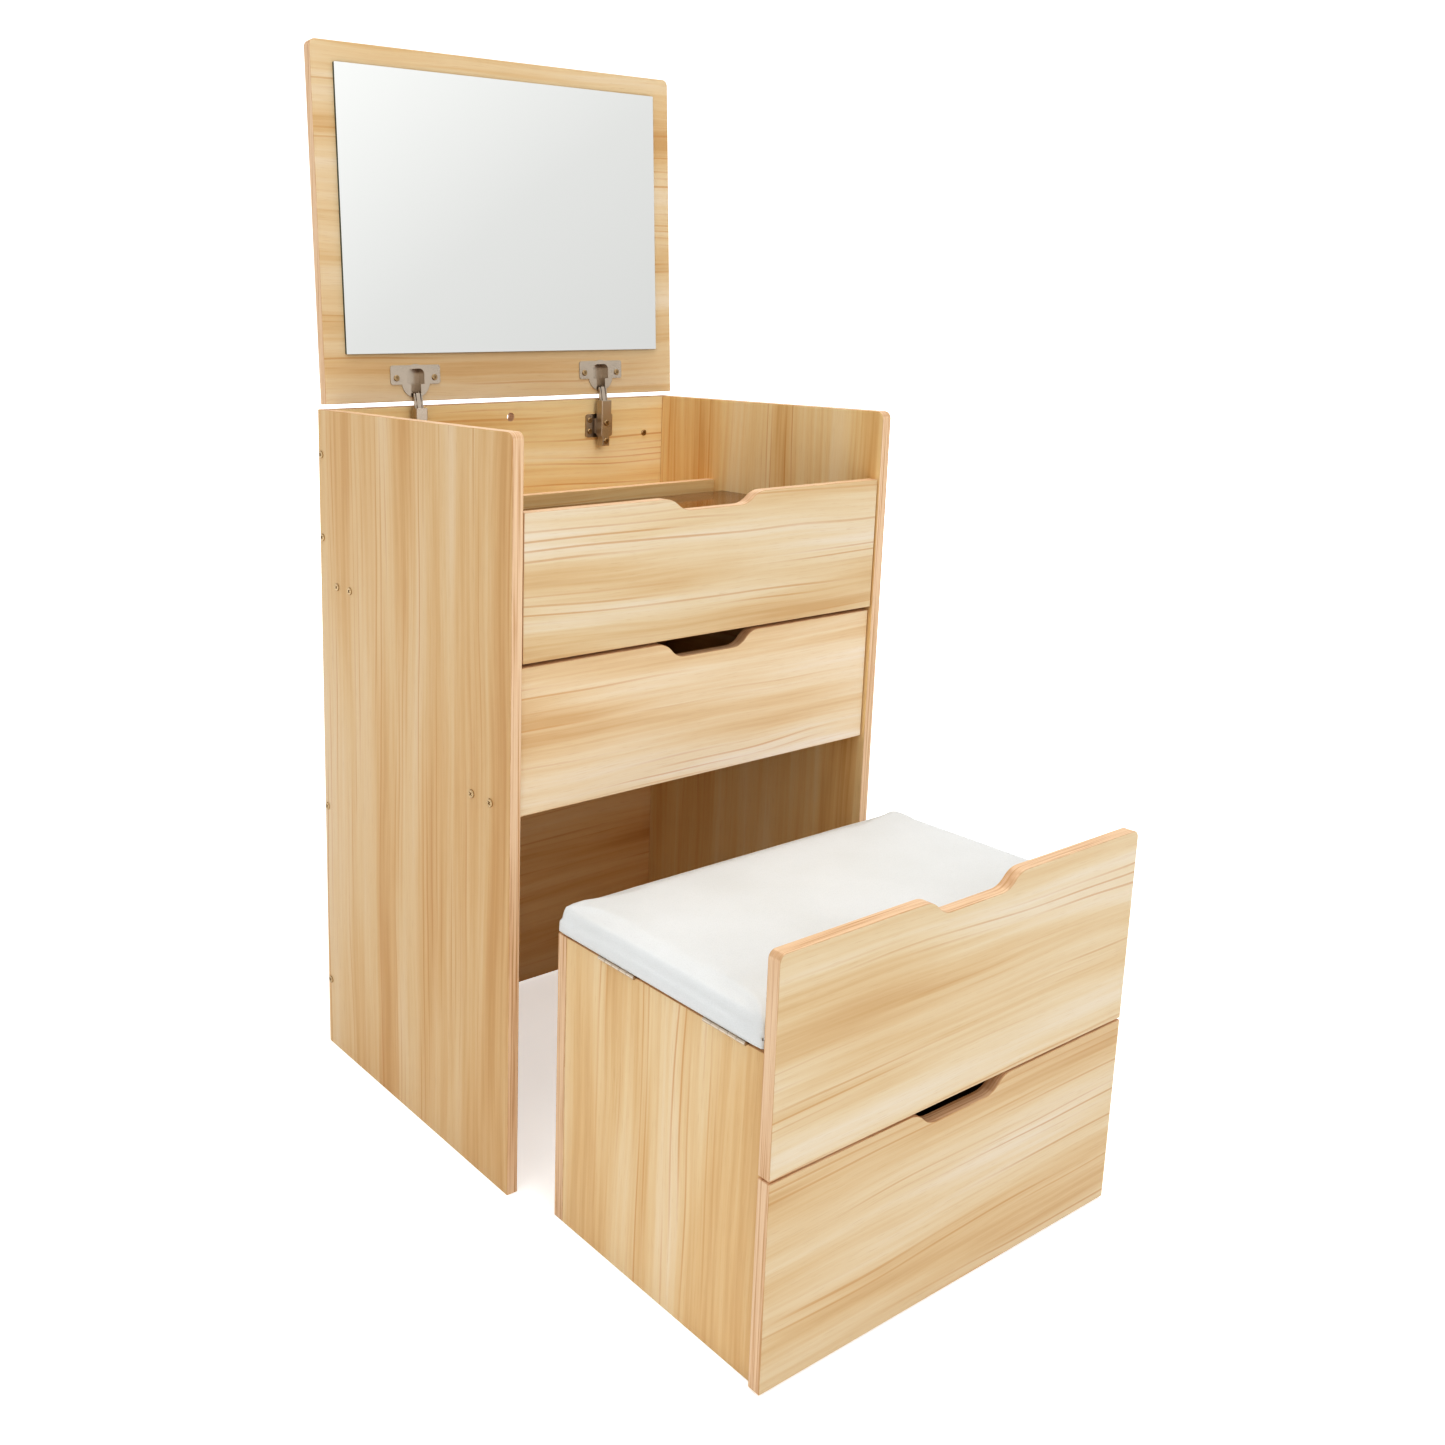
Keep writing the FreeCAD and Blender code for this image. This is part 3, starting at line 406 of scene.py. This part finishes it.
# Some boards are tinted a little darker, paler or warmer: the drawer and stool fronts are a little paler, cooler or
# darker; the left side panel is darkened as painted shade on its outer face; the lid board is darker, partly
# board-to-board tone and partly painted shade; the right side panel, upper back panel and divider are lightened as
# painted light inside the well; and the lower back panel is darkened and warmed as painted shade in the knee hole
TINTS_AND_PAINTED_LIGHT = {
    "left_side_panel": (0.87, 0.82, 0.76),
    "right_side_panel": (1.10, 1.10, 1.02),
    "lid_board": (0.92, 0.92, 0.93),
    "upper_back_panel": (1.12, 1.16, 1.10),
    "lower_back_panel": (1.0, 0.90, 0.80),
    "compartment_divider": (1.0, 1.05, 1.05),
    "upper_drawer_front": (0.93, 0.98, 1.08),
    "lower_drawer_front": (1.03, 1.09, 1.26),
    "stool_upper_front": (0.89, 0.94, 1.03),
    "stool_drawer_front": (0.88, 0.92, 1.0),
}
PLAIN = (1.0, 1.0, 1.0)

# Where a board is cut from the sheet, for the one that doesn't follow the order above
SHEET_PLACES = {"lid_board": 47}

for order, (node, (grain, face)) in enumerate(BOARDS.items(), start=1):
    sheet_place = SHEET_PLACES.get(node, order)
    paint(node, wood("oak_" + node, grain, face, sheet_place, TINTS_AND_PAINTED_LIGHT.get(node, PLAIN)))

nickel = metal("satin_nickel", srgb(192, 180, 166), 0.26, 0.32, (1500.0, 1500.0, 2600.0))
screw_plate = metal("zinc_screws", srgb(170, 148, 116), 0.24, 0.36, (900.0, 900.0, 900.0))
others = {
    "mirror": mirror_glass("silvered_mirror"),
    "glass_top": bronze_glass("bronze_glass"),
    "seat_buffers": moulded("rubber", srgb(150, 150, 147), 0.6, 0.8),
}
plastic = moulded("runner_plastic", srgb(222, 219, 210), 0.34, 0.5)
fibre = hardboard("hardboard")
for node in nodes:
    if node in BOARDS:
        continue
    if node in others:
        paint(node, others[node])
    elif node.endswith("_bottom"):
        paint(node, fibre)
    elif node.endswith("_runner"):
        paint(node, plastic)
    elif node.endswith("_screws"):
        paint(node, screw_plate)
    else:
        paint(node, nickel)


# ---------------------------------------------------------------- padded seat


def padded_seat():
    """The seat's pad in coated cloth: a block blown up, cut flat below and hollowed for the board."""
    low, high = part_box("seat_cushion")
    board_low, board_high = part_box("seat_board")
    bottom = low.z + PAD_LIFT
    low += Vector((PAD_START_INSET, PAD_START_INSET, -PAD_SKIRT))
    high -= Vector((PAD_START_INSET, PAD_START_INSET, PAD_START_TOP))
    size = high - low
    shape = bmesh.new()
    bmesh.ops.create_cube(shape, size=1.0)
    shape.transform(Matrix.Translation((low + high) / 2) @ Matrix.Diagonal((*size, 1.0)))
    rounding = {"offset": PAD_EDGE, "segments": PAD_EDGE_STEPS, "profile": 0.5}
    bmesh.ops.bevel(shape, geom=shape.edges[:], affect="EDGES", **rounding)
    mesh = bpy.data.meshes.new("seat_pad")
    shape.to_mesh(mesh)
    shape.free()
    pad = bpy.data.objects.new("seat_pad", mesh)
    scene.collection.objects.link(pad)

    remesh = pad.modifiers.new("even", "REMESH")
    remesh.mode, remesh.voxel_size = "VOXEL", PAD_VOXEL
    settle(pad)
    swell(pad, bottom)
    subdivide = pad.modifiers.new("smooth", "SUBSURF")
    subdivide.levels = subdivide.render_levels = 1
    settle(pad)
    crease_corners(pad, low, high)
    keep_wall(pad, board_low, board_high)
    trim_below(pad, bottom)
    hollow_for_board(pad, board_low, board_high)
    for polygon in pad.data.polygons:
        polygon.use_smooth = True
    return pad


def settle(piece):
    """Applies a piece's modifiers to its mesh."""
    view = bpy.context.evaluated_depsgraph_get()
    mesh = bpy.data.meshes.new_from_object(piece.evaluated_get(view))
    piece.modifiers.clear()
    piece.data = mesh


def swell(pad, bottom):
    """Blows the pad up as cloth, with its underside held, and caps how far any point moves."""
    start = [v.co.copy() for v in pad.data.vertices]
    held = pad.vertex_groups.new(name="held")
    held.add([i for i, co in enumerate(start) if co.z < bottom + PAD_HELD], 1.0, "REPLACE")
    cloth = pad.modifiers.new("cloth", "CLOTH")
    settings = cloth.settings
    settings.quality = CLOTH_QUALITY
    settings.mass = CLOTH_MASS
    settings.tension_stiffness = settings.compression_stiffness = CLOTH_STRETCH
    settings.shear_stiffness = CLOTH_SHEAR
    settings.bending_stiffness = CLOTH_BENDING
    settings.use_pressure = True
    settings.uniform_pressure_force = PAD_PRESSURE
    settings.vertex_group_mass = "held"
    settings.effector_weights.gravity = 0.0
    cloth.point_cache.frame_start, cloth.point_cache.frame_end = 1, PAD_FRAMES
    for step in range(1, PAD_FRAMES + 1):
        scene.frame_set(step)
    settle(pad)
    scene.frame_set(1)
    pad.vertex_groups.clear()
    for vertex, before in zip(pad.data.vertices, start):
        move = vertex.co - before
        if move.length > PAD_CAP:
            vertex.co = before + move * (PAD_CAP / move.length)


def crease_corners(pad, low, high):
    """Tucks at the four upright corners, with small puckers above them."""
    for vertex in pad.data.vertices:
        co = vertex.co
        side_x = 1.0 if co.x > (low.x + high.x) / 2 else -1.0
        side_y = 1.0 if co.y > (low.y + high.y) / 2 else -1.0
        from_x = (high.x - co.x) if side_x > 0 else (co.x - low.x)
        from_y = (high.y - co.y) if side_y > 0 else (co.y - low.y)
        if from_x > CORNER_REACH or from_y > CORNER_REACH:
            continue
        tuck = math.exp(-(((from_x - TUCK_IN) / TUCK_WIDTH) ** 2))
        tuck *= math.exp(-((max(from_y, 0.0) / TUCK_FADE) ** 2))
        co.y -= side_y * TUCK_DEPTH * tuck
        out = math.hypot(from_x - TUCK_IN, from_y - TUCK_IN)
        turn = math.atan2(from_y - PUCKER_CENTRE, from_x - PUCKER_CENTRE)
        top = max(0.0, 1.0 - (high.z - co.z) / PUCKER_FADE)
        fold = math.exp(-((out / PUCKER_REACH) ** 2)) * (0.5 + 0.5 * math.cos(turn * PUCKERS))
        co.z -= PUCKER_DEPTH * top * fold


def keep_wall(pad, board_low, board_high):
    """Keeps the cloth's sides clear of the edges of the board that they wrap."""
    for vertex in pad.data.vertices:
        co = vertex.co
        if co.z > board_high.z + PAD_WALL:
            continue
        gaps = []
        for axis in (0, 1):
            gaps.append((co[axis] - board_low[axis] + PAD_WALL, axis, -1.0))
            gaps.append((board_high[axis] + PAD_WALL - co[axis], axis, 1.0))
        depth, axis, way = min(gaps)
        if 0.0 < depth < PAD_EDGE:
            co[axis] += way * depth


def trim_below(pad, bottom):
    """Cuts the pad off flat at its lower edge."""
    shape = bmesh.new()
    shape.from_mesh(pad.data)
    everything = shape.verts[:] + shape.edges[:] + shape.faces[:]
    plane = {"plane_co": (0.0, 0.0, bottom), "plane_no": (0.0, 0.0, -1.0)}
    cut = bmesh.ops.bisect_plane(shape, geom=everything, clear_outer=True, **plane)
    rim = [part for part in cut["geom_cut"] if isinstance(part, bmesh.types.BMEdge)]
    bmesh.ops.holes_fill(shape, edges=rim)
    shape.to_mesh(pad.data)
    shape.free()


def hollow_for_board(pad, board_low, board_high):
    """Cuts the seat board's space out of the pad."""
    margin = Vector((BOARD_CLEARANCE,) * 3)
    low, high = board_low - margin, board_high + margin
    low.z -= CUTTER_DEPTH
    cutter_mesh = bpy.data.meshes.new("board_space")
    shape = bmesh.new()
    bmesh.ops.create_cube(shape, size=1.0)
    shape.transform(Matrix.Translation((low + high) / 2) @ Matrix.Diagonal((*(high - low), 1.0)))
    shape.to_mesh(cutter_mesh)
    shape.free()
    cutter = bpy.data.objects.new("board_space", cutter_mesh)
    scene.collection.objects.link(cutter)
    cut = pad.modifiers.new("hollow", "BOOLEAN")
    cut.operation, cut.solver, cut.object = "DIFFERENCE", "EXACT", cutter
    settle(pad)
    bpy.data.objects.remove(cutter)
    bpy.data.meshes.remove(cutter_mesh)


seat_pad = padded_seat()
seat_pad.data.materials.clear()
seat_pad.data.materials.append(leatherette("leatherette"))
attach(seat_pad, "seat_lid")
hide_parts("seat_cushion")


# ---------------------------------------------------------------- floor, light and camera


def add_floor():
    """A wide pale floor that glows more with distance, to all but diffuse rays, until it meets the backdrop."""
    mesh = bpy.data.meshes.new("floor")
    corners = [(x * FLOOR_REACH, y * FLOOR_REACH, 0) for x, y in ((-1, -1), (1, -1), (1, 1), (-1, 1))]
    mesh.from_pydata(corners, [], [(0, 1, 2, 3)])
    floor = bpy.data.objects.new("floor", mesh)
    floor.location.z = -FLOOR_DROP
    scene.collection.objects.link(floor)
    f = Finish("pale_floor")
    clouds = f.noise(f.place, 3.0, 3.0)
    colour = f.ramp(clouds, FLOOR_TONES)
    away = f.add("ShaderNodeVectorMath", {0: f.place}, operation="LENGTH").outputs["Value"]
    glow = f.between(away, FLOOR_FADE[0], FLOOR_FADE[1], *FLOOR_GLOW)
    seen = f.maths("SUBTRACT", 1.0, f.add("ShaderNodeLightPath").outputs["Is Diffuse Ray"])
    glow = f.maths("MULTIPLY", glow, seen)
    white = (1.0, 1.0, 1.0)
    mesh.materials.append(
        f.finish(colour=colour, roughness=0.7, specular=0.1, emission_color=white, emission_strength=glow)
    )


def add_world():
    """A studio brighter up and to the left: dimmer for diffuse rays, plain white where the camera sees it."""
    world = bpy.data.worlds.new("studio")
    scene.world = world
    world.use_nodes = True
    tree = world.node_tree
    tree.nodes.clear()
    way = tree.nodes.new("ShaderNodeTexCoord").outputs["Generated"]
    lean = tree.nodes.new("ShaderNodeVectorMath")
    lean.operation = "DOT_PRODUCT"
    lean.inputs[1].default_value = WORLD_LEAN
    tree.links.new(way, lean.inputs[0])
    spread = tree.nodes.new("ShaderNodeMapRange")
    spread.inputs["From Min"].default_value = -WORLD_SPAN
    spread.inputs["From Max"].default_value = WORLD_SPAN
    tree.links.new(lean.outputs["Value"], spread.inputs["Value"])
    ramp = tree.nodes.new("ShaderNodeValToRGB")
    elements = ramp.color_ramp.elements
    while len(elements) < len(WORLD_GREYS):
        elements.new(0.5)
    for element, (position, grey) in zip(elements, WORLD_GREYS):
        element.position = position
        element.color = (grey, grey, grey * WORLD_BLUE, 1.0)
    tree.links.new(spread.outputs[0], ramp.inputs[0])
    around = tree.nodes.new("ShaderNodeBackground")
    tree.links.new(ramp.outputs[0], around.inputs["Color"])
    kind = tree.nodes.new("ShaderNodeLightPath").outputs
    dimmed = tree.nodes.new("ShaderNodeMapRange")
    dimmed.inputs["To Min"].default_value = WORLD_IN_MIRROR
    dimmed.inputs["To Max"].default_value = WORLD_LIGHT
    tree.links.new(kind["Is Diffuse Ray"], dimmed.inputs["Value"])
    tree.links.new(dimmed.outputs[0], around.inputs["Strength"])
    backdrop = tree.nodes.new("ShaderNodeBackground")
    backdrop.inputs["Color"].default_value = (1.0, 1.0, 1.0, 1.0)
    mix = tree.nodes.new("ShaderNodeMixShader")
    tree.links.new(kind["Is Camera Ray"], mix.inputs[0])
    tree.links.new(around.outputs[0], mix.inputs[1])
    tree.links.new(backdrop.outputs[0], mix.inputs[2])
    tree.links.new(mix.outputs[0], tree.nodes.new("ShaderNodeOutputWorld").inputs["Surface"])


def add_lamp(name, place, size, watts):
    """A soft square lamp aimed at the middle of the set."""
    lamp = bpy.data.lights.new(name, "AREA")
    lamp.shape, lamp.size, lamp.energy = "SQUARE", size, watts
    holder = bpy.data.objects.new(name, lamp)
    holder.location = place
    holder.rotation_mode = "QUATERNION"
    holder.rotation_quaternion = (Vector(LAMP_TARGET) - Vector(place)).to_track_quat("-Z", "Y")
    holder.visible_camera = False
    scene.collection.objects.link(holder)


def add_camera():
    """The camera at the photograph's angle."""
    yaw, pitch, roll = (math.radians(angle) for angle in (YAW, PITCH, ROLL))
    ahead = Vector((math.sin(yaw) * math.cos(pitch), math.cos(yaw) * math.cos(pitch), -math.sin(pitch)))
    level = Vector((math.cos(yaw), -math.sin(yaw), 0.0))
    upright = level.cross(ahead)
    right = level * math.cos(roll) + upright * math.sin(roll)
    up = upright * math.cos(roll) - level * math.sin(roll)
    data = bpy.data.cameras.new("camera")
    data.sensor_width = SENSOR
    data.lens = LENS
    data.shift_x, data.shift_y = SHIFT
    camera = bpy.data.objects.new("camera", data)
    turn = Matrix((right, up, -ahead)).transposed().to_4x4()
    camera.matrix_world = Matrix.Translation(EYE) @ turn
    scene.collection.objects.link(camera)
    scene.camera = camera


add_floor()
add_world()
for name, (place, size, watts) in LAMPS.items():
    add_lamp(name, place, size, watts)
add_camera()
scene.view_settings.view_transform = "Standard"
scene.view_settings.look = "High Contrast"
